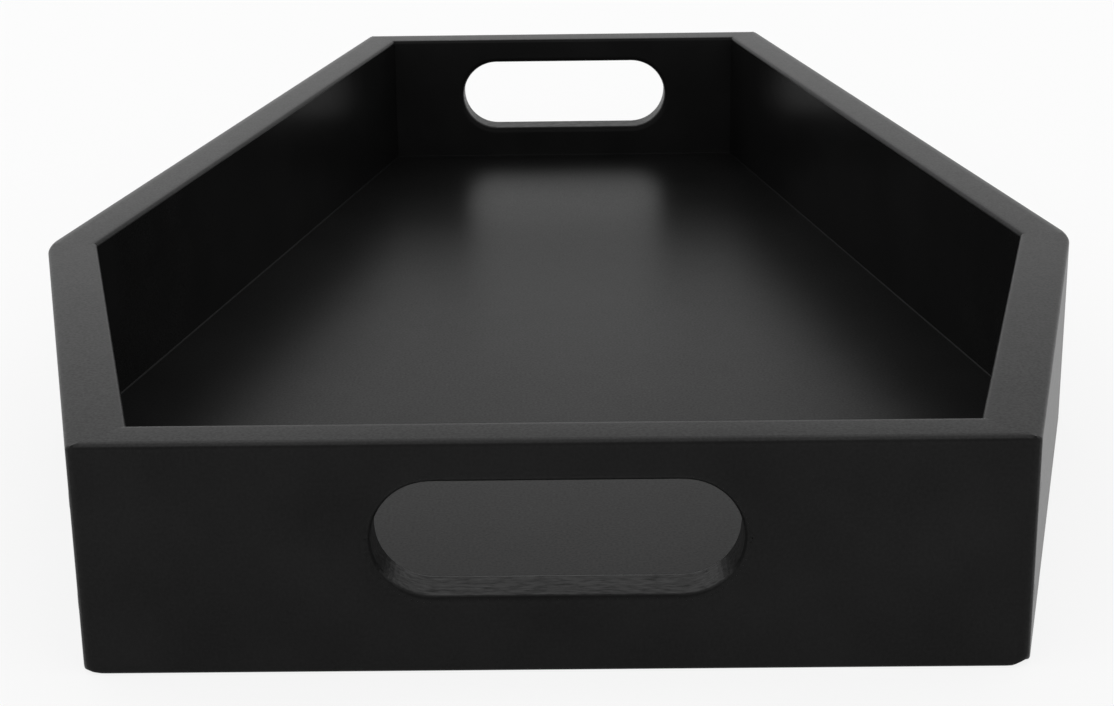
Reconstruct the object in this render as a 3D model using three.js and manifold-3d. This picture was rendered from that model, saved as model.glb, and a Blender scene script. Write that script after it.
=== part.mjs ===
// A painted wooden tray in the long coffin shape: six mitred boards around a flat base panel, with a hand
// slot through each end. Millimetres, +Z up. The origin is on the ground under the middle of the tray, and
// +Y runs from the head end to the narrower foot end.
import * as THREE from 'three';
import { mergeVertices } from 'three/addons/utils/BufferGeometryUtils.js';
import Module from 'manifold-3d';

const wasm = await Module();
wasm.setup();

// Outline seen from above, over the outer faces of the boards
const trayLength = 436;
const headWidth = 196;
const shoulderWidth = 269;
const footWidth = 148;
const headToShoulder = 149;
const endCornerRadius = 2.5;
const shoulderRadius = 24;

// Wall boards
const wallHeight = 50.8;
const wallThickness = 12.7;
const edgeRadius = 1;
const glueLine = 0.3;

// Hand slots
const slotLength = 76.5;
const slotHeight = 25.4;
const slotMiddle = 29.4;

// Base panel, let into a rebate along the lower inner edge of every board
const panelThickness = 5.5;
const panelRecess = 0.5;
const rebateDepth = 6.35;
const panelClearance = 0.3;

// Brads at the head and foot corners
const bradLength = 25;
const bradShank = 1.4;
const bradHead = 2.2;
const bradHeadHeight = 1;
const bradSet = 0.8;
const bradEdgeDistance = 14;

// Dowels across the shoulder joints
const dowelLength = 20;
const dowelDiameter = 4;
const dowelChamfer = 0.6;
const dowelEdgeDistance = 15;

// Pins that hold the base panel up to the boards
const pinLength = 14;
const pinShank = 1.2;
const pinHead = 2.4;
const pinHeadHeight = 0.8;
const pinEndDistance = 25;

// Room around every brad, dowel and pin in its hole
const fastenerClearance = 0.3;

// How far a cutting shape runs on past the faces that it cuts
const overcut = 4;

// Fineness of the sanded edges and of the slots' round ends, and the flats around a fastener
const edgeFacets = 3;
const slotFacets = 8;
const fastenerSides = 8;

const paintedBoard = { color: 0x18181a, roughness: 0.5, metalness: 0 };
const paintedPanel = { color: 0x1c1c1e, roughness: 0.4, metalness: 0 };
const beech = { color: 0xc59c6c, roughness: 0.8, metalness: 0 };
const steel = { color: 0x8c8f92, roughness: 0.35, metalness: 1 };

const headFace = -trayLength / 2;
const footFace = trayLength / 2;
const shoulderLine = headFace + headToShoulder;
const floorHeight = panelRecess + panelThickness;

// The boards in order around the tray, anticlockwise from above. Each runs from its own corner of the
// outline to the corner of the next board.
const boards = [
  { name: 'head', corner: [-headWidth / 2, headFace], radius: endCornerRadius, slotted: true, pins: 2 },
  { name: 'right_shoulder', corner: [headWidth / 2, headFace], radius: endCornerRadius, pins: 3 },
  { name: 'right_side', corner: [shoulderWidth / 2, shoulderLine], radius: shoulderRadius, pins: 4 },
  { name: 'foot', corner: [footWidth / 2, footFace], radius: endCornerRadius, slotted: true, pins: 2 },
  { name: 'left_side', corner: [-footWidth / 2, footFace], radius: endCornerRadius, pins: 4 },
  { name: 'left_shoulder', corner: [-shoulderWidth / 2, shoulderLine], radius: shoulderRadius, pins: 3 },
];
boards.forEach((board, index) => {
  board.next = boards[(index + 1) % boards.length];
  board.next.previous = board;
  board.start = new THREE.Vector2(...board.corner);
  board.end = new THREE.Vector2(...board.next.corner);
  board.along = board.end.clone().sub(board.start).normalize();
  board.inward = new THREE.Vector2(-board.along.y, board.along.x);
});

// The point at a board's starting corner that lies a given distance inside both faces that meet there
function insetCorner(board, distance) {
  const { inward } = board;
  const across = board.previous.inward.clone().add(inward);
  across.multiplyScalar(distance / (1 + inward.dot(board.previous.inward)));
  return across.add(board.start);
}

// How far a board's end is cut back along its length to leave half of the glue line at that corner
function mitreTrim(board) {
  const halfTurn = Math.acos(board.inward.dot(board.previous.inward)) / 2;
  return glueLine / 2 / Math.cos(halfTurn);
}

// A closed geometry as a solid that can be joined and cut
function solidOf(geometry) {
  const bare = geometry.clone();
  bare.deleteAttribute('normal');
  bare.deleteAttribute('uv');
  const merged = mergeVertices(bare);
  const corners = merged.index.array;
  const triangles = [];
  for (let i = 0; i < corners.length; i += 3) {
    const [a, b, c] = corners.slice(i, i + 3);
    if (a !== b && b !== c && c !== a) {
      triangles.push(a, b, c);
    }
  }
  const vertProperties = new Float32Array(merged.attributes.position.array);
  const triVerts = new Uint32Array(triangles);
  return new wasm.Manifold(new wasm.Mesh({ numProp: 3, vertProperties, triVerts }));
}

function geometryOf(solid) {
  const { vertProperties, triVerts } = solid.getMesh();
  const geometry = new THREE.BufferGeometry();
  geometry.setAttribute('position', new THREE.BufferAttribute(vertProperties, 3));
  geometry.setIndex(new THREE.BufferAttribute(triVerts, 1));
  geometry.computeVertexNormals();
  return geometry;
}

const tray = new THREE.Group();

function addPiece(name, geometry, finish) {
  const piece = new THREE.Mesh(geometry, new THREE.MeshStandardMaterial(finish));
  piece.name = name;
  tray.add(piece);
  return piece;
}

// The outside of the glued frame after sanding: the outline with its upright corners rounded and its long
// edges eased, as one block
function sandedBlock() {
  const outline = new THREE.Shape();
  for (const board of boards) {
    const centre = insetCorner(board, board.radius);
    const from = board.previous.inward.clone().negate().angle();
    const to = board.inward.clone().negate().angle();
    outline.absarc(centre.x, centre.y, board.radius, from, to, false);
  }
  const block = new THREE.ExtrudeGeometry(outline, {
    depth: wallHeight - 2 * edgeRadius,
    bevelThickness: edgeRadius,
    bevelSize: edgeRadius,
    bevelOffset: -edgeRadius,
    bevelSegments: edgeFacets,
    curveSegments: edgeFacets,
  });
  return block.translate(0, 0, edgeRadius);
}

// Section of a board before sanding: distance in from the outer face, and height. It stands past the
// outer, upper and lower faces, and has the rebate and the eased inner edge.
function boardSection() {
  const rebateFace = wallThickness - rebateDepth;
  const easedFace = wallThickness - edgeRadius;
  const section = new THREE.Shape();
  section.moveTo(-overcut, -overcut);
  section.lineTo(rebateFace, -overcut);
  section.lineTo(rebateFace, floorHeight);
  section.lineTo(wallThickness, floorHeight);
  section.absarc(easedFace, wallHeight - edgeRadius, edgeRadius, 0, Math.PI / 2, false);
  section.lineTo(easedFace, wallHeight + overcut);
  section.lineTo(-overcut, wallHeight + overcut);
  return section;
}

// A board is that section run from mitre to mitre
function mitredBlank(board) {
  const options = { depth: 1, bevelEnabled: false, curveSegments: edgeFacets };
  const blank = new THREE.ExtrudeGeometry(boardSection(), options);
  const points = blank.attributes.position;
  for (let i = 0; i < points.count; i += 1) {
    const atStart = points.getZ(i) === 0;
    const inset = points.getX(i);
    const height = points.getY(i);
    const point = insetCorner(atStart ? board : board.next, inset);
    const trim = atStart ? mitreTrim(board) : -mitreTrim(board.next);
    point.addScaledVector(board.along, trim);
    points.setXYZ(i, point.x, point.y, height);
  }
  return blank;
}

// The hand slot as a cutter through the middle of a board
function slotCutter(board) {
  const endRadius = slotHeight / 2;
  const reach = slotLength / 2 - endRadius;
  const slot = new THREE.Shape();
  slot.absarc(reach, 0, endRadius, -Math.PI / 2, Math.PI / 2, false);
  slot.absarc(-reach, 0, endRadius, Math.PI / 2, Math.PI * 1.5, false);
  const depth = wallThickness + 2 * overcut;
  const cutter = new THREE.ExtrudeGeometry(slot, { depth, bevelEnabled: false, curveSegments: slotFacets });
  const middle = board.start.clone().add(board.end).multiplyScalar(0.5);
  middle.addScaledVector(board.inward, wallThickness + overcut);
  const placing = new THREE.Matrix4().makeBasis(
    new THREE.Vector3(board.along.x, board.along.y, 0),
    new THREE.Vector3(0, 0, 1),
    new THREE.Vector3(-board.inward.x, -board.inward.y, 0),
  );
  placing.setPosition(middle.x, middle.y, slotMiddle);
  return cutter.applyMatrix4(placing);
}

// The base panel reaches under the boards, with a little room at its edges
function panelBlank() {
  const edgeInset = wallThickness - rebateDepth + panelClearance;
  const outline = new THREE.Shape(boards.map((board) => insetCorner(board, edgeInset)));
  const panel = new THREE.ExtrudeGeometry(outline, { depth: panelThickness, bevelEnabled: false });
  return panel.translate(0, 0, panelRecess);
}

// A shape turned about +Z from pairs of radius and height, lowest first
function turned(profile) {
  const points = profile.map(([radius, height]) => new THREE.Vector2(radius, height));
  return new THREE.LatheGeometry(points, fastenerSides).rotateX(Math.PI / 2);
}

// A nail driven along +Z, with its head at the origin. With room it is the hole for that nail, which
// comes in from above the head.
function nail(length, shank, head, headHeight, room = 0) {
  const entry = room > 0 ? -overcut : 0;
  const shankRadius = shank / 2 + room;
  const headRadius = head / 2 + room;
  const tip = length + room;
  return turned([
    [0, entry],
    [headRadius, entry],
    [headRadius, headHeight + room],
    [shankRadius, headHeight + room],
    [shankRadius, tip - shank],
    [0, tip],
  ]);
}

function brad(room) {
  return nail(bradLength, bradShank, bradHead, bradHeadHeight, room);
}

function pin(room) {
  return nail(pinLength, pinShank, pinHead, pinHeadHeight, room);
}

// A dowel along Z, centred on the origin, or with room the hole for it
function dowel(room = 0) {
  const radius = dowelDiameter / 2 + room;
  const end = dowelLength / 2 + room;
  return turned([
    [0, -end],
    [radius - dowelChamfer, -end],
    [radius, dowelChamfer - end],
    [radius, end - dowelChamfer],
    [radius - dowelChamfer, end],
    [0, end],
  ]);
}

// Fasteners are placed first, because the boards and the panel are drilled for all of them
const drillings = [];

function addFastener(name, shape, finish, place, direction) {
  const piece = addPiece(name, shape(), finish);
  piece.position.copy(place);
  piece.quaternion.setFromUnitVectors(new THREE.Vector3(0, 0, 1), direction);
  piece.updateMatrix();
  drillings.push(solidOf(shape(fastenerClearance).applyMatrix4(piece.matrix)));
}

// Brads go through the board beside an end board, along the middle of the end board's thickness
function addBrads(name, corner, intoEnd, endInward, besideAlong) {
  const toMiddle = wallThickness / 2 / besideAlong.dot(endInward);
  const entry = corner.clone().addScaledVector(besideAlong, toMiddle).addScaledVector(intoEnd, bradSet);
  const direction = new THREE.Vector3(intoEnd.x, intoEnd.y, 0);
  [bradEdgeDistance, wallHeight - bradEdgeDistance].forEach((height, row) => {
    const place = new THREE.Vector3(entry.x, entry.y, height);
    addFastener(`${name}_brad_${row + 1}`, brad, steel, place, direction);
  });
}

// Dowels cross a shoulder joint square to its mitre
function addDowels(board) {
  const side = board.start.x > 0 ? 'right' : 'left';
  const centre = insetCorner(board, wallThickness / 2);
  const across = board.along.clone().add(board.previous.along).normalize();
  const direction = new THREE.Vector3(across.x, across.y, 0);
  [dowelEdgeDistance, wallHeight - dowelEdgeDistance].forEach((height, row) => {
    const place = new THREE.Vector3(centre.x, centre.y, height);
    addFastener(`${side}_shoulder_joint_dowel_${row + 1}`, dowel, beech, place, direction);
  });
}

// Pins stand in a row along the middle of a board's rebate, from one end of the board to the other
function addPins(board) {
  const inset = wallThickness - rebateDepth / 2;
  const first = insetCorner(board, inset).addScaledVector(board.along, pinEndDistance);
  const last = insetCorner(board.next, inset).addScaledVector(board.along, -pinEndDistance);
  const up = new THREE.Vector3(0, 0, 1);
  for (let i = 0; i < board.pins; i += 1) {
    const point = first.clone().lerp(last, i / (board.pins - 1));
    const place = new THREE.Vector3(point.x, point.y, panelRecess);
    addFastener(`${board.name}_base_pin_${i + 1}`, pin, steel, place, up);
  }
}

for (const board of boards) {
  if (board.slotted) {
    const back = board.along.clone().negate();
    const previousBack = board.previous.along.clone().negate();
    addBrads(`${board.name}_to_${board.previous.name}`, board.start, board.along, board.inward, previousBack);
    addBrads(`${board.name}_to_${board.next.name}`, board.end, back, board.inward, board.next.along);
  } else if (!board.previous.slotted) {
    addDowels(board);
  }
  addPins(board);
}

const drilling = drillings.reduce((all, one) => all.add(one));

const sanded = solidOf(sandedBlock());
for (const board of boards) {
  let solid = solidOf(mitredBlank(board)).intersect(sanded);
  if (board.slotted) {
    solid = solid.subtract(solidOf(slotCutter(board)));
  }
  addPiece(`${board.name}_board`, geometryOf(solid.subtract(drilling)), paintedBoard);
}

addPiece('base_panel', geometryOf(solidOf(panelBlank()).subtract(drilling)), paintedPanel);

export default tray;
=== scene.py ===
import math

import bmesh
import bpy
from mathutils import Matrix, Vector


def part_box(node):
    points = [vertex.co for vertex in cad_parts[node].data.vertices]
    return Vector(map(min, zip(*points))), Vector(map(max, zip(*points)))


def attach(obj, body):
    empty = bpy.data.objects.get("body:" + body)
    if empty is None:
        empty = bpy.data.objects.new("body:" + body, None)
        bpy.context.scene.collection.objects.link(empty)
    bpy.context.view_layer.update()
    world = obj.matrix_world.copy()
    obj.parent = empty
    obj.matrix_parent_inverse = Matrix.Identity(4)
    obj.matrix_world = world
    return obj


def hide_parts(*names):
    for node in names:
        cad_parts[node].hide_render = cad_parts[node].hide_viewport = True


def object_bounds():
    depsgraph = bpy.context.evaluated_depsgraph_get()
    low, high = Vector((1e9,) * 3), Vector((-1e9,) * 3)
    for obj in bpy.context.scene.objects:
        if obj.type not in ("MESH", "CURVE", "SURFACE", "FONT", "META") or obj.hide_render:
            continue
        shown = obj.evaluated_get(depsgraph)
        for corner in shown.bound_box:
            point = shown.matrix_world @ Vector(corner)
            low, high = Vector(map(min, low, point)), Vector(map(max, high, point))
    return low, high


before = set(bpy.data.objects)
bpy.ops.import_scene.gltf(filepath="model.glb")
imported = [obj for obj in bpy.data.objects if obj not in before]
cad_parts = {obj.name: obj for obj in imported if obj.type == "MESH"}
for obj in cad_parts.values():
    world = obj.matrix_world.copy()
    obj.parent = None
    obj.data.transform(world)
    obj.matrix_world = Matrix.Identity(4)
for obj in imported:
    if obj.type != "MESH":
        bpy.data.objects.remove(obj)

cad_low, cad_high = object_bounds()

# Wall frame. Six lengths of planed softwood board are mitred, glued round the base panel and sanded over
# as one, so the eased edges run on from board to board and the lower end corners are rubbed a little short.
# Here the frame is made whole: a strip of board round the coffin outline, with a lip round the base panel.
HEAD_WIDTH = 0.196
SHOULDER_WIDTH = 0.269
FOOT_WIDTH = 0.148
HEAD_TO_SHOULDER = 0.149
EDGE_RADIUS = 0.001
END_CORNER_RADIUS = 0.0025
SHOULDER_RADIUS = 0.024
CORNER_STEPS = 8
EDGE_STEPS = 4
CORNER_WEAR = 0.003
CORNER_CUTS = (0.0046, 0.0034, 0.0026, 0.0018)
# The worn corners, each with how far its lowest point is lifted and drawn in.
WORN_CORNERS = (
    (0, 0.0006, 0.0004),
    (1, 0.0018, 0.0008),
    (3, 0.0007, 0.0004),
    (4, 0.0007, 0.0004),
)
PANEL_GAP = 0.0001
TOUCH = 0.00002
CUT_WELD = 0.000001

tray_length = cad_high.y - cad_low.y
wall_height = cad_high.z
shoulder_line = cad_low.y + HEAD_TO_SHOULDER
wall_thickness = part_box("head_board")[1].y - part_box("head_board")[0].y
floor_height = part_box("base_panel")[1].z
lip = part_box("base_panel")[0].y - cad_low.y - PANEL_GAP

corners = [
    Vector((-HEAD_WIDTH / 2, cad_low.y)),
    Vector((HEAD_WIDTH / 2, cad_low.y)),
    Vector((SHOULDER_WIDTH / 2, shoulder_line)),
    Vector((FOOT_WIDTH / 2, cad_high.y)),
    Vector((-FOOT_WIDTH / 2, cad_high.y)),
    Vector((-SHOULDER_WIDTH / 2, shoulder_line)),
]
alongs = [(corners[(i + 1) % 6] - corners[i]).normalized() for i in range(6)]
inwards = [Vector((-along.y, along.x)) for along in alongs]


def inset_of(point):
    """How far a point lies inside the tray's outline, seen from above."""
    return min((point.xy - corner).dot(inward) for corner, inward in zip(corners, inwards))


def pick(kind, test):
    """Selects the vertices, edges or faces of the piece in edit mode that pass a test, and no others."""
    bpy.ops.mesh.select_mode(type=kind)
    bpy.ops.mesh.select_all(action="DESELECT")
    shape = bmesh.from_edit_mesh(bpy.context.edit_object.data)
    elements = {"VERT": shape.verts, "EDGE": shape.edges, "FACE": shape.faces}[kind]
    for element in elements:
        if test(element):
            element.select_set(True)
    shape.select_flush_mode()
    bmesh.update_edit_mesh(bpy.context.edit_object.data)


def middle(element):
    """The middle of an edge or a face."""
    return sum((vert.co for vert in element.verts), Vector()) / len(element.verts)


def coffin_plate(name, height):
    """A flat plate of the tray's outline at a height, left in edit mode with all of it selected."""
    bpy.ops.object.select_all(action="DESELECT")
    bpy.ops.mesh.primitive_plane_add(size=1, location=(0, 0, height))
    plate = bpy.context.object
    plate.name = name
    plate.data.name = name
    plate.scale = (SHOULDER_WIDTH, tray_length, 1)
    bpy.ops.object.transform_apply(location=True, rotation=True, scale=True)
    bpy.ops.object.mode_set(mode="EDIT")
    bpy.ops.mesh.select_all(action="SELECT")
    bpy.ops.mesh.bisect(plane_co=(0, shoulder_line, 0), plane_no=(0, 1, 0))
    for end, width in ((cad_low.y, HEAD_WIDTH), (cad_high.y, FOOT_WIDTH)):
        pick("VERT", lambda vert: abs(vert.co.y - end) < TOUCH)
        bpy.ops.transform.resize(value=(width / SHOULDER_WIDTH, 1, 1), center_override=(0, 0, 0))
    bpy.ops.mesh.select_mode(type="FACE")
    bpy.ops.mesh.select_all(action="SELECT")
    return plate


def rise(height):
    """Draws the selected faces out, straight up or down."""
    bpy.ops.mesh.extrude_region_move(TRANSFORM_OT_translate={"value": (0, 0, height)})


def round_over(set_back, steps, test):
    """Rounds the edges that pass a test, from a distance back along the faces on either side."""
    pick("EDGE", test)
    bpy.ops.mesh.bevel(offset=set_back, offset_type="OFFSET", segments=steps, profile=0.5, affect="EDGES")


wall_frame = coffin_plate("wall_frame", floor_height)
bpy.ops.mesh.inset(thickness=lip, use_even_offset=True)
bpy.ops.mesh.inset(thickness=wall_thickness - lip, use_even_offset=True)
bpy.ops.mesh.delete(type="FACE")
bpy.ops.mesh.select_all(action="SELECT")
rise(wall_height - floor_height)
pick("FACE", lambda face: middle(face).z < floor_height + TOUCH and inset_of(middle(face)) < lip)
rise(-floor_height)
pick("EDGE", lambda edge: all(abs(v.co.z - floor_height) + abs(inset_of(v.co)) < TOUCH for v in edge.verts))
bpy.ops.mesh.dissolve_edges()
bpy.ops.mesh.select_all(action="SELECT")
bpy.ops.mesh.normals_make_consistent(inside=False)


def is_upright(edge, level):
    """True on the outer upright edges at a level along the tray's length."""
    tall = abs(edge.verts[0].co.z - edge.verts[1].co.z) > floor_height
    return tall and all(inset_of(v.co) < TOUCH and abs(v.co.y - level) < TOUCH for v in edge.verts)


def is_rim(edge):
    """True on the outer loops above and below, and on the inner loop above."""
    level = abs(edge.verts[0].co.z - edge.verts[1].co.z) < TOUCH
    outer = all(inset_of(v.co) < lip / 2 and not TOUCH < v.co.z < wall_height - TOUCH for v in edge.verts)
    inner = all(abs(inset_of(v.co) - wall_thickness) + abs(v.co.z - wall_height) < TOUCH for v in edge.verts)
    return level and (outer or inner)


def is_end_mitre(edge):
    """True on the level edges that run across the frame at its head and foot corners."""
    first, second = edge.verts
    level = abs(first.co.z - second.co.z) < TOUCH
    across = abs(inset_of(first.co) - inset_of(second.co)) > TOUCH
    return level and across and abs(middle(edge).y - shoulder_line) > HEAD_TO_SHOULDER / 2


pick("EDGE", is_end_mitre)
bpy.ops.mesh.dissolve_edges(use_verts=False)
for level, radius, turn in (
    (shoulder_line, SHOULDER_RADIUS, alongs[1].angle(alongs[2])),
    (cad_low.y, END_CORNER_RADIUS, alongs[0].angle(alongs[1])),
    (cad_high.y, END_CORNER_RADIUS, alongs[2].angle(alongs[3])),
):
    round_over(radius * math.tan(turn / 2), CORNER_STEPS, lambda edge: is_upright(edge, level))
round_over(EDGE_RADIUS, EDGE_STEPS, is_rim)
for i, lift, draw_in in WORN_CORNERS:
    corner = corners[i].to_3d()
    for away in (alongs[i].to_3d(), -alongs[i - 1].to_3d(), Vector((0, 0, 1))):
        for reach in CORNER_CUTS:
            pick("FACE", lambda face: any((v.co.xy - corner.xy).length < CORNER_CUTS[0] for v in face.verts))
            bpy.ops.mesh.bisect(plane_co=corner + away * reach, plane_no=away, threshold=CUT_WELD)
    inward = (inwards[i - 1] + inwards[i]).normalized()
    pick("VERT", lambda vert: (
        vert.co.z < TOUCH and (vert.co.xy - corner.xy).length < 0.7 * END_CORNER_RADIUS
    ))
    bpy.ops.transform.translate(
        value=(inward.x * draw_in, inward.y * draw_in, lift), use_proportional_edit=True,
        proportional_edit_falloff="SHARP", proportional_size=CORNER_WEAR,
    )
bpy.ops.object.mode_set(mode="OBJECT")


# Wall boards. The frame is parted along its mitres into the six boards, with a hairline left where the glue
# is, and sanding has let their tops fall away a little towards the edges. All are sprayed with satin black
# paint, with a very fine spray texture and a trace of the grain. The inner faces carry a darker, less glossy
# paint, which is painted shade inside the tray and darkest on the side walls.
BOARDS = (
    "head_board", "right_shoulder_board", "right_side_board",
    "foot_board", "left_side_board", "left_shoulder_board",
)
MITRE_HAIRLINE = 0.00002
SAW_WELD = 0.00001
SMOOTH_BELOW = math.radians(32)
# Paints: shade, gloss, roughness, then how deep the grain and the spray texture stand in them.
WALL_PAINT = (0.0098, 0.063, 0.30, 0.000004, 0.000004)
# The inner paints are darker than the wall paint: painted shade for the inside of the tray, darkest on the
# side walls.
END_INNER_SHADED_PAINT = (0.0095, 0.03, 0.26, 0.000004, 0.000004)
SIDE_INNER_SHADED_PAINT = (0.0066, 0.014, 0.26, 0.000004, 0.000004)
PAINT_IOR = 1.45
SHADE_SWING = 0.15
GLOSS_SWING = 0.3
ROUGHNESS_SWING = 0.012
GRAIN_STRETCH = 24
NOISE_LOW = 0.3
NOISE_HIGH = 0.7
# Textures, in waves to the metre.
PATCH_WAVES = 45
SHEEN_WAVES = 400
GRAIN_WAVES = 420
SPRAY_WAVES = 1500
# Lines scored along the board tops, and how far the tops drop between two distances from the outer face.
CROWN_LINES = (0.0017, 0.0024, 0.0032, wall_thickness - 0.002)
CROWN = (
    (-TOUCH, 0.0013, 0.00026),
    (0.0013, 0.002, 0.0001),
    (0.002, 0.0028, 0.000035),
    (wall_thickness - 0.0026, wall_thickness - 0.0016, 0.00003),
    (wall_thickness - 0.0016, wall_thickness + TOUCH, 0.0001),
)


def part_off(point, direction):
    """Saws through the piece in edit mode and drops the part that the direction points to."""
    bpy.ops.mesh.select_all(action="SELECT")
    bpy.ops.mesh.bisect(
        plane_co=(point.x, point.y, 0), plane_no=(direction.x, direction.y, 0),
        clear_outer=True, threshold=SAW_WELD,
    )


def close_end(point, run):
    """Closes a sawn end on the upright plane through a point, and sets it back by half the hairline."""
    pick("EDGE", lambda edge: edge.is_boundary and all(
        abs((v.co.xy - point).dot(run)) < TOUCH for v in edge.verts
    ))
    bpy.ops.mesh.edge_face_add()
    pick("VERT", lambda vert: abs((vert.co.xy - point).dot(run)) < TOUCH)
    bpy.ops.transform.translate(value=(run * MITRE_HAIRLINE / 2).to_3d())


def score(point, direction):
    """Adds a line of points round the piece in edit mode, where an upright plane meets it."""
    bpy.ops.mesh.select_all(action="SELECT")
    bpy.ops.mesh.bisect(
        plane_co=(point.x, point.y, 0), plane_no=(direction.x, direction.y, 0), threshold=CUT_WELD,
    )


def take_up(piece):
    """Makes a piece the only selected one and the one that is worked on."""
    bpy.ops.object.select_all(action="DESELECT")
    piece.select_set(True)
    bpy.context.view_layer.objects.active = piece


def copy_of(piece, name):
    """A copy with a mesh of its own."""
    take_up(piece)
    bpy.ops.object.duplicate()
    copy = bpy.context.object
    copy.name = name
    copy.data.name = name
    return copy


def smooth(piece):
    """Shades the rounded edges smooth and keeps the broad faces flat."""
    take_up(piece)
    bpy.ops.object.shade_smooth_by_angle(angle=SMOOTH_BELOW)
    piece.modifiers.new("flat_faces", "WEIGHTED_NORMAL").keep_sharp = True
    bpy.ops.object.modifier_apply(modifier="flat_faces")


def link(tree, source, output, target, socket):
    """Joins an output of one node to an input of another."""
    tree.links.new(source.outputs[output], target.inputs[socket])


def noise(tree, place, output, scale, detail):
    """A noise texture, with its size given as waves to the metre."""
    texture = tree.nodes.new("ShaderNodeTexNoise")
    texture.inputs["Scale"].default_value = scale
    texture.inputs["Detail"].default_value = detail
    link(tree, place, output, texture, "Vector")
    return texture


def spread(tree, texture, low, high):
    """Turns the middle range of a noise texture into values between low and high."""
    ramp = tree.nodes.new("ShaderNodeMapRange")
    ramp.inputs["From Min"].default_value = NOISE_LOW
    ramp.inputs["From Max"].default_value = NOISE_HIGH
    ramp.inputs["To Min"].default_value = low
    ramp.inputs["To Max"].default_value = high
    link(tree, texture, "Fac", ramp, "Value")
    return ramp


def tint(tree, texture, ranges, shader):
    """Colours a shader from a texture, with a range of values each for red, green and blue."""
    colour = tree.nodes.new("ShaderNodeCombineColor")
    for channel, (low, high) in zip(("Red", "Green", "Blue"), ranges):
        link(tree, spread(tree, texture, low, high), "Result", colour, channel)
    link(tree, colour, "Color", shader, "Base Color")


def raise_by(tree, texture, depth, below):
    """A bump of a depth in metres from a texture, on top of an earlier bump when there is one."""
    bump = tree.nodes.new("ShaderNodeBump")
    bump.inputs["Strength"].default_value = 1.0
    bump.inputs["Distance"].default_value = depth
    link(tree, texture, "Fac", bump, "Height")
    if below:
        link(tree, below, "Normal", bump, "Normal")
    return bump


def black_paint(name, turn, shade, gloss, roughness, grain_depth, spray_depth):
    """Satin black paint over wood whose grain runs at an angle to X."""
    material = bpy.data.materials.new(name)
    material.use_nodes = True
    tree = material.node_tree
    paint = tree.nodes["Principled BSDF"]
    paint.inputs["IOR"].default_value = PAINT_IOR
    place = tree.nodes.new("ShaderNodeTexCoord")
    grain_place = tree.nodes.new("ShaderNodeMapping")
    grain_place.vector_type = "TEXTURE"
    grain_place.inputs["Rotation"].default_value = (0, 0, turn)
    grain_place.inputs["Scale"].default_value = (GRAIN_STRETCH, 1, 1)
    link(tree, place, "Object", grain_place, "Vector")
    patches = noise(tree, place, "Object", PATCH_WAVES, 3)
    tint(tree, patches, [(shade * (1 - SHADE_SWING), shade * (1 + SHADE_SWING))] * 3, paint)
    sheen = noise(tree, place, "Object", SHEEN_WAVES, 4)
    rough = spread(tree, sheen, roughness - ROUGHNESS_SWING, roughness + ROUGHNESS_SWING)
    link(tree, rough, "Result", paint, "Roughness")
    grain = noise(tree, grain_place, "Vector", GRAIN_WAVES, 3)
    spray = noise(tree, place, "Object", SPRAY_WAVES, 2)
    shine = spread(tree, spray, gloss * (1 - GLOSS_SWING), gloss * (1 + GLOSS_SWING))
    link(tree, shine, "Result", paint, "Specular IOR Level")
    bump = raise_by(tree, grain, grain_depth, None)
    bump = raise_by(tree, spray, spray_depth, bump)
    link(tree, bump, "Normal", paint, "Normal")
    return material


boards = {}
for i, name in enumerate(BOARDS):
    board = copy_of(wall_frame, name + "_painted")
    start, end = corners[i], corners[(i + 1) % 6]
    start_run = (alongs[i - 1] + alongs[i]).normalized()
    end_run = (alongs[i] + alongs[(i + 1) % 6]).normalized()
    bpy.ops.object.mode_set(mode="EDIT")
    part_off(start + inwards[i] * wall_thickness * 1.5, inwards[i])
    part_off(start, -start_run)
    part_off(end, end_run)
    close_end(start, start_run)
    close_end(end, -end_run)
    for depth in CROWN_LINES:
        score(start + inwards[i] * depth, inwards[i])
    for near, far, drop in CROWN:
        pick("VERT", lambda vert: (
            vert.co.z > wall_height - 2 * EDGE_RADIUS and near <= (vert.co.xy - start).dot(inwards[i]) < far
        ))
        bpy.ops.transform.translate(value=(0, 0, -drop))
    turn = math.atan2(alongs[i].y, alongs[i].x)
    board.data.materials.append(black_paint(name + "_paint", turn, *WALL_PAINT))
    # The inner faces take a darker paint, which is painted shade inside the tray and darkest on the side
    # walls.
    inner_shaded_paint = END_INNER_SHADED_PAINT if name in ("head_board", "foot_board") else SIDE_INNER_SHADED_PAINT
    board.data.materials.append(black_paint(name + "_inner_shaded_paint", turn, *inner_shaded_paint))
    pick("FACE", lambda face: all(
        abs((v.co.xy - start).dot(inwards[i]) - wall_thickness) < TOUCH for v in face.verts
    ))
    board.active_material_index = 1
    bpy.ops.object.material_slot_assign()
    bpy.ops.object.mode_set(mode="OBJECT")
    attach(board, "root")
    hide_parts(name)
    boards[name] = board
bpy.data.objects.remove(wall_frame)

# Hand slots. One is cut through each end board with a jigsaw between two drilled holes, a hair off the
# middle, and rubbed down by hand, so the cut faces wander a little. They are sawn wood under the paint:
# rougher, and streaked along the grain.
SLOT_LENGTH = 0.0765
SLOT_HEIGHT = 0.0254
SLOT_MIDDLE = 0.0294
SLOT_RIM_RADIUS = 0.002
SLOT_RIM_STEPS = 6
SLOT_END_RADIUS = SLOT_HEIGHT * 0.499
SLOT_END_STEPS = 16
SLOT_POINTS = 24
HEAD_SLOT_ASIDE = 0.0007
FOOT_SLOT_ASIDE = 0.0003
HAND_WANDER = 0.000015
WANDER_SEED = 5
FACING = 0.9
SAWN_PAINT = (0.0085, 0.07, 0.34, 0.000012, 0.000006)
STREAK_WAVES = 1100
STREAK_STRETCH = 3
STREAK_GLOSS_LOW = 0.025
STREAK_GLOSS_HIGH = 0.105
STREAK_DEPTH = 0.00006


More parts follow.
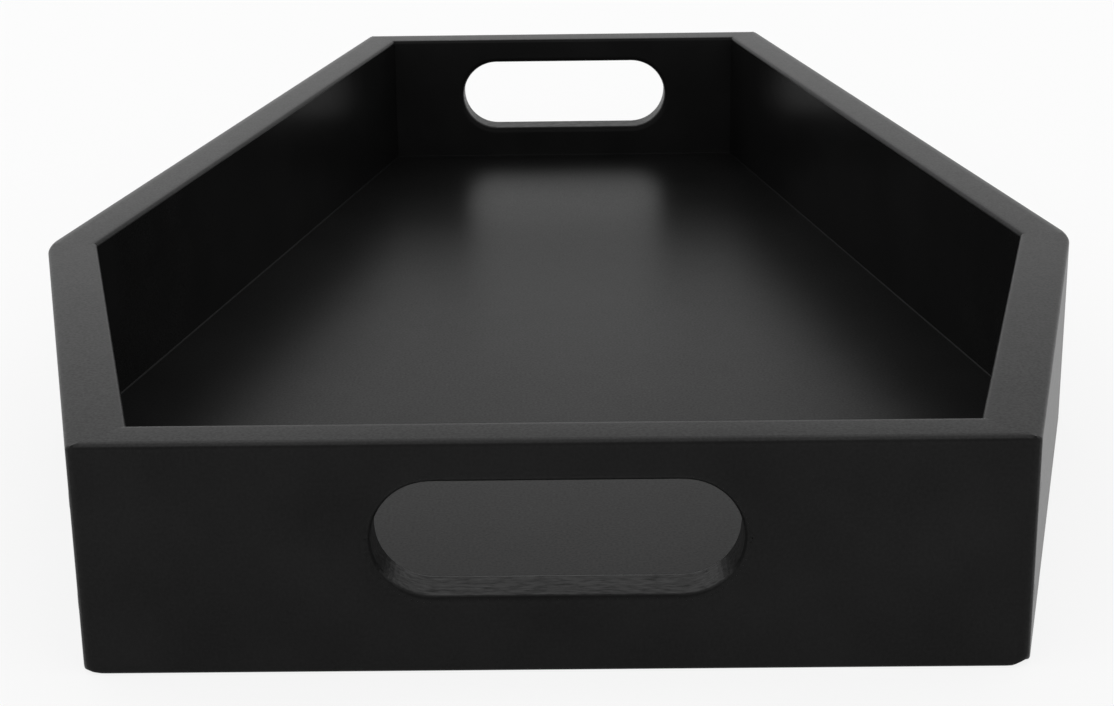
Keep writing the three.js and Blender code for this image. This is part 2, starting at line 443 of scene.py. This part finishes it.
def in_slot(point, aside):
    """True inside a slot's outline and just past it, seen from the end of the tray."""
    past_middle = max(0, abs(point.x - aside) - (SLOT_LENGTH - SLOT_HEIGHT) / 2)
    return math.hypot(past_middle, point.z - SLOT_MIDDLE) < SLOT_HEIGHT / 2 + 5 * TOUCH


def on_face(point):
    """True on the outer and the inner face of a board."""
    return min(abs(inset_of(point)), abs(inset_of(point) - wall_thickness)) < TOUCH


def is_deep(point):
    """True inside a board, away from its outer and its inner face."""
    return SLOT_RIM_RADIUS / 2 < inset_of(point) < wall_thickness - SLOT_RIM_RADIUS / 2


def sawn_paint(name):
    """Black paint over the saw's streaks, which run along the board and shine unevenly."""
    material = black_paint(name, 0, *SAWN_PAINT)
    tree = material.node_tree
    paint = tree.nodes["Principled BSDF"]
    place = tree.nodes.new("ShaderNodeTexCoord")
    streak_place = tree.nodes.new("ShaderNodeMapping")
    streak_place.vector_type = "TEXTURE"
    streak_place.inputs["Scale"].default_value = (STREAK_STRETCH, 1, 1)
    link(tree, place, "Object", streak_place, "Vector")
    streaks = noise(tree, streak_place, "Vector", STREAK_WAVES, 5)
    gloss = spread(tree, streaks, STREAK_GLOSS_LOW, STREAK_GLOSS_HIGH)
    link(tree, gloss, "Result", paint, "Specular IOR Level")
    below = paint.inputs["Normal"].links[0].from_node
    link(tree, raise_by(tree, streaks, STREAK_DEPTH, below), "Normal", paint, "Normal")
    return material


for name, end, aside in (
    ("head_board", cad_low.y, HEAD_SLOT_ASIDE),
    ("foot_board", cad_high.y, FOOT_SLOT_ASIDE),
):
    bpy.ops.object.select_all(action="DESELECT")
    bpy.ops.mesh.primitive_cube_add(size=1, location=(aside, end, SLOT_MIDDLE))
    cutter = bpy.context.object
    cutter.scale = (SLOT_LENGTH, wall_thickness * 4, SLOT_HEIGHT)
    bpy.ops.object.transform_apply(location=True, rotation=True, scale=True)
    bpy.ops.object.mode_set(mode="EDIT")
    round_over(SLOT_END_RADIUS, SLOT_END_STEPS, lambda edge: (
        abs(edge.verts[0].co.y - edge.verts[1].co.y) > wall_thickness
    ))
    pick("EDGE", lambda edge: abs(edge.verts[0].co.x - edge.verts[1].co.x) > SLOT_LENGTH / 2)
    bpy.ops.mesh.subdivide(number_cuts=SLOT_POINTS)
    bpy.ops.object.mode_set(mode="OBJECT")
    board = boards[name]
    take_up(board)
    slot = board.modifiers.new("hand_slot", "BOOLEAN")
    slot.operation = "DIFFERENCE"
    slot.object = cutter
    slot.solver = "FAST"
    bpy.ops.object.modifier_apply(modifier="hand_slot")
    bpy.data.objects.remove(cutter)
    bpy.ops.object.mode_set(mode="EDIT")
    round_over(SLOT_RIM_RADIUS, SLOT_RIM_STEPS, lambda edge: all(
        in_slot(v.co, aside) and on_face(v.co) for v in edge.verts
    ))
    pick("VERT", lambda vert: in_slot(vert.co, aside) and is_deep(vert.co))
    bpy.ops.transform.vertex_random(offset=HAND_WANDER, uniform=0.0, normal=0.0, seed=WANDER_SEED)
    board.data.materials.append(sawn_paint(name + "_slot_paint"))
    pick("FACE", lambda face: (
        abs(face.normal.y) < FACING and all(in_slot(v.co, aside) for v in face.verts)
    ))
    board.active_material_index = 2
    bpy.ops.object.material_slot_assign()
    bpy.ops.object.mode_set(mode="OBJECT")

for board in boards.values():
    smooth(board)

# Nail filler. The corner brads are set below the face of the boards that they pass through, and each hole is
# stopped with filler, rubbed down and painted over. It stands a breath proud as a low round spot.
SPOT_RADIUS = 0.0018
SPOT_DEPTH = 0.0006
SPOT_SUNK = 0.00028
SPOT_SIDES = 24
# The steps in from the rim of a spot to its crown, with the rise of each.
SPOT_CROWN = ((0.0005, 0.00003), (0.0006, 0.00001))
FILLER_PAINT = (0.0098, 0.063, 0.30, 0.000002, 0.000004)
bpy.ops.object.select_all(action="DESELECT")
bpy.ops.mesh.primitive_cylinder_add(
    vertices=SPOT_SIDES, radius=SPOT_RADIUS, depth=SPOT_DEPTH, location=(0, 0, -SPOT_SUNK),
)
first_spot = bpy.context.object
bpy.ops.object.transform_apply(location=True, rotation=True, scale=True)
bpy.ops.object.mode_set(mode="EDIT")
pick("FACE", lambda face: face.normal.z > FACING)
for step, rise_of_step in SPOT_CROWN:
    bpy.ops.mesh.inset(thickness=step, depth=rise_of_step)
bpy.ops.object.mode_set(mode="OBJECT")
first_spot.data.materials.append(black_paint("filler_paint", 0, *FILLER_PAINT))
smooth(first_spot)
for name in [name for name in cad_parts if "_brad_" in name]:
    low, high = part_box(name)
    pierced = BOARDS.index(name.split("_to_")[1].split("_brad_")[0] + "_board")
    start, along, inward = corners[pierced], alongs[pierced], inwards[pierced]
    reach = ((low.y + high.y) / 2 - start.y) / along.y
    spot = copy_of(first_spot, name.replace("_brad_", "_filler_"))
    spot.location = (start.x + along.x * reach, start.y + along.y * reach, (low.z + high.z) / 2)
    spot.rotation_euler = (0, math.pi / 2, math.atan2(-inward.y, -inward.x))
    bpy.ops.object.transform_apply(location=True, rotation=True, scale=True)
    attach(spot, "root")
bpy.data.objects.remove(first_spot)

# Base panel. Thin board that lies inside the lip of the walls and shuts the tray below. It was painted with
# the walls, on a smoother face than theirs, and mirrors the slot at the far end as a soft glow.
PANEL_EDGE = 0.0003
PANEL_EDGE_STEPS = 2
PANEL_PAINT = (0.0085, 0.07, 0.31, 0.000002, 0.000003)
panel_low, panel_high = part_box("base_panel")
panel_inset = panel_low.y - cad_low.y
panel = coffin_plate("base_panel_painted", panel_low.z)
bpy.ops.mesh.inset(thickness=panel_inset, use_even_offset=True)
pick("FACE", lambda face: inset_of(middle(face)) < panel_inset - TOUCH)
bpy.ops.mesh.delete(type="FACE")
bpy.ops.mesh.select_all(action="SELECT")
rise(panel_high.z - panel_low.z)
bpy.ops.mesh.select_all(action="SELECT")
bpy.ops.mesh.normals_make_consistent(inside=False)
round_over(PANEL_EDGE, PANEL_EDGE_STEPS, lambda edge: all(
    abs(inset_of(v.co) - panel_inset) < TOUCH for v in edge.verts
))
bpy.ops.object.mode_set(mode="OBJECT")
panel.data.materials.append(black_paint("base_panel_paint", math.pi / 2, *PANEL_PAINT))
smooth(panel)
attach(panel, "root")
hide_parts("base_panel")

# Paint bead. Paint has gathered where the floor meets the walls and set as a thin hollow fillet all round,
# which shows as a fine light line along the foot of each wall.
BEAD = 0.0003
BEAD_STEPS = 4
BEAD_HOLLOW = 0.2
BEAD_PAINT = (0.0085, 0.03, 0.5, 0.000002, 0.000003)
bead = coffin_plate("floor_bead", floor_height)
bpy.ops.mesh.inset(thickness=wall_thickness, use_even_offset=True)
bpy.ops.mesh.inset(thickness=BEAD, use_even_offset=True)
bpy.ops.mesh.delete(type="FACE")
pick("FACE", lambda face: inset_of(middle(face)) < wall_thickness)
bpy.ops.mesh.delete(type="FACE")
bpy.ops.mesh.select_all(action="SELECT")
rise(BEAD)
bpy.ops.mesh.select_all(action="SELECT")
bpy.ops.mesh.normals_make_consistent(inside=False)
pick("EDGE", lambda edge: all(
    v.co.z > floor_height + TOUCH and inset_of(v.co) > wall_thickness + TOUCH for v in edge.verts
))
bpy.ops.mesh.bevel(
    offset=BEAD * 0.95, offset_type="OFFSET", segments=BEAD_STEPS, profile=BEAD_HOLLOW, affect="EDGES",
)
bpy.ops.object.mode_set(mode="OBJECT")
bead.data.materials.append(black_paint("floor_bead_paint", 0, *BEAD_PAINT))
smooth(bead)
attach(bead, "root")

# Base pins. Bright wire pins with flat heads, driven up through the rim of the panel into the walls. Their
# heads stand a breath proud of the panel, with rounded rims, and the far ends are drawn to a point.
PIN_PROUD = 0.00015
PIN_SIDES = 20
HEAD_THICKNESS = 0.0008
HEAD_ROUNDING = 0.0002
HEAD_ROUNDING_STEPS = 3
SHANK_RADIUS = 0.0006
POINT_LENGTH = 4 * SHANK_RADIUS
POINT_SHARE = 0.15
WIRE_TINT = ((0.24, 0.34), (0.24, 0.35), (0.24, 0.37))
WIRE_ROUGHNESS = (0.5, 0.3)
TARNISH_WAVES = 900
SCRATCH_WAVES = 4000
SCRATCH_DEPTH = 0.000004
pin_nodes = [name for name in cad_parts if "_base_pin_" in name]
pin_low, pin_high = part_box(pin_nodes[0])
head_radius = (pin_high.x - pin_low.x) / 2
bpy.ops.object.select_all(action="DESELECT")
bpy.ops.mesh.primitive_cylinder_add(
    vertices=PIN_SIDES, radius=head_radius, depth=HEAD_THICKNESS + PIN_PROUD,
    location=(0, 0, pin_low.z + (HEAD_THICKNESS - PIN_PROUD) / 2),
)
first_pin = bpy.context.object
bpy.ops.object.transform_apply(location=True, rotation=True, scale=True)
bpy.ops.object.mode_set(mode="EDIT")
pick("FACE", lambda face: face.normal.z > FACING)
bpy.ops.mesh.inset(thickness=head_radius - SHANK_RADIUS)
rise(pin_high.z - pin_low.z - HEAD_THICKNESS - POINT_LENGTH)
rise(POINT_LENGTH)
bpy.ops.transform.resize(value=(POINT_SHARE, POINT_SHARE, 1), center_override=(0, 0, 0))
pick("EDGE", lambda edge: all(v.co.z < pin_low.z for v in edge.verts))
bpy.ops.mesh.bevel(
    offset=HEAD_ROUNDING, offset_type="OFFSET", segments=HEAD_ROUNDING_STEPS, profile=0.5, affect="EDGES",
)
bpy.ops.object.mode_set(mode="OBJECT")


def bright_wire(name):
    """Drawn steel wire, with fine scratches and a little tarnish."""
    material = bpy.data.materials.new(name)
    material.use_nodes = True
    tree = material.node_tree
    steel = tree.nodes["Principled BSDF"]
    steel.inputs["Metallic"].default_value = 1.0
    place = tree.nodes.new("ShaderNodeTexCoord")
    tarnish = noise(tree, place, "Object", TARNISH_WAVES, 4)
    tint(tree, tarnish, WIRE_TINT, steel)
    link(tree, spread(tree, tarnish, *WIRE_ROUGHNESS), "Result", steel, "Roughness")
    scratches = noise(tree, place, "Object", SCRATCH_WAVES, 3)
    link(tree, raise_by(tree, scratches, SCRATCH_DEPTH, None), "Normal", steel, "Normal")
    return material


pin_steel = bright_wire("pin_steel")
first_pin.data.materials.append(pin_steel)
smooth(first_pin)
for name in pin_nodes:
    low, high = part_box(name)
    pin = copy_of(first_pin, name + "_driven")
    bpy.ops.transform.translate(value=((low.x + high.x) / 2, (low.y + high.y) / 2, 0))
    bpy.ops.object.transform_apply(location=True, rotation=True, scale=True)
    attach(pin, "root")
    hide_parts(name)
bpy.data.objects.remove(first_pin)

# Corner brads and shoulder dowels. They lie inside the wood and stay as they are in the CAD: the brads of
# the same drawn wire as the pins, the dowels of bare beech with its fine flecks.
BEECH_TINT = ((0.48, 0.60), (0.29, 0.38), (0.14, 0.20))
BEECH_ROUGHNESS = 0.6
FLECK_WAVES = 700
FLECK_DEPTH = 0.00002
beech = bpy.data.materials.new("dowel_beech")
beech.use_nodes = True
tree = beech.node_tree
wood = tree.nodes["Principled BSDF"]
wood.inputs["Roughness"].default_value = BEECH_ROUGHNESS
place = tree.nodes.new("ShaderNodeTexCoord")
flecks = noise(tree, place, "Object", FLECK_WAVES, 4)
tint(tree, flecks, BEECH_TINT, wood)
link(tree, raise_by(tree, flecks, FLECK_DEPTH, None), "Normal", wood, "Normal")
for name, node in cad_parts.items():
    if "_brad_" in name:
        node.data.materials.clear()
        node.data.materials.append(pin_steel)
    if "_dowel_" in name:
        node.data.materials.clear()
        node.data.materials.append(beech)

# Stage. A plain pale floor that runs far back and looks nearly white, as in a product photo, even light from
# all round that dims overhead, and one large soft lamp behind on the left.
ALL_ROUND = 1.05
OVERHEAD = 0.5
DIMMING_STARTS = 0.7
DIMMING_ENDS = 0.92
WHITENED = 0.84
FLOOR_SIZE = 12
FLOOR_PLACE = (0, 3, -0.0001)
FLOOR_TONE = 0.95
FLOOR_ROUGHNESS = 0.8
LAMP_PLACE = (-1.1, 2.2, 1.1)
LAMP_SIZE = 1.6
LAMP_POWER = 1
bpy.ops.object.select_all(action="DESELECT")
bpy.ops.mesh.primitive_plane_add(size=FLOOR_SIZE, location=FLOOR_PLACE)
floor = bpy.context.object
floor.name = "floor"
floor.data.name = "floor"
bpy.ops.object.transform_apply(location=True, rotation=True, scale=True)
pale = bpy.data.materials.new("floor_pale")
pale.use_nodes = True
tree = pale.node_tree
card = tree.nodes["Principled BSDF"]
card.inputs["Base Color"].default_value = (FLOOR_TONE, FLOOR_TONE, FLOOR_TONE, 1)
card.inputs["Roughness"].default_value = FLOOR_ROUGHNESS
white = tree.nodes.new("ShaderNodeEmission")
ray = tree.nodes.new("ShaderNodeLightPath")
seen = tree.nodes.new("ShaderNodeMath")
seen.operation = "MAXIMUM"
link(tree, ray, "Is Camera Ray", seen, 0)
link(tree, ray, "Is Glossy Ray", seen, 1)
seen_through = tree.nodes.new("ShaderNodeMath")
seen_through.operation = "MAXIMUM"
link(tree, seen, "Value", seen_through, 0)
link(tree, ray, "Is Transmission Ray", seen_through, 1)
share = tree.nodes.new("ShaderNodeMath")
share.operation = "MULTIPLY"
share.inputs[1].default_value = WHITENED
link(tree, seen_through, "Value", share, 0)
blend = tree.nodes.new("ShaderNodeMixShader")
link(tree, share, "Value", blend, "Fac")
link(tree, card, "BSDF", blend, 1)
link(tree, white, "Emission", blend, 2)
link(tree, blend, "Shader", tree.nodes["Material Output"], "Surface")
floor.data.materials.append(pale)

world = bpy.data.worlds.new("even_light")
world.use_nodes = True
tree = world.node_tree
direction = tree.nodes.new("ShaderNodeTexCoord")
height = tree.nodes.new("ShaderNodeSeparateXYZ")
link(tree, direction, "Generated", height, "Vector")
dimmer = tree.nodes.new("ShaderNodeMapRange")
dimmer.inputs["From Min"].default_value = DIMMING_STARTS
dimmer.inputs["From Max"].default_value = DIMMING_ENDS
dimmer.inputs["To Min"].default_value = ALL_ROUND
dimmer.inputs["To Max"].default_value = OVERHEAD
link(tree, height, "Z", dimmer, "Value")
link(tree, dimmer, "Result", tree.nodes["Background"], "Strength")
tree.nodes["Background"].inputs["Color"].default_value = (1, 1, 1, 1)
bpy.context.scene.world = world
bpy.ops.object.light_add(type="AREA", location=LAMP_PLACE)
lamp = bpy.context.object
lamp.name = "soft_lamp"
lamp.data.shape = "SQUARE"
lamp.data.size = LAMP_SIZE
lamp.data.energy = LAMP_POWER
lamp.rotation_euler = (Vector((0, 0, 0)) - lamp.location).to_track_quat("-Z", "Y").to_euler()

# Camera. In front of the head end, a little above, as the tray is seen in the photo. Its place, its turns in
# degrees and its lens in millimetres come from a fit to the tray's edges there.
CAMERA_PLACE = (0.00605, -0.6385, 0.21322)
CAMERA_TURNS = (71.166, 0.754, 0.409)
CAMERA_LENS = 72.685
bpy.ops.object.camera_add(location=CAMERA_PLACE)
camera = bpy.context.object
camera.name = "photo_view"
camera.rotation_euler = [math.radians(turn) for turn in CAMERA_TURNS]
camera.data.lens = CAMERA_LENS
camera.data.sensor_width = 36
bpy.context.scene.camera = camera
bpy.context.scene.view_settings.view_transform = "Standard"
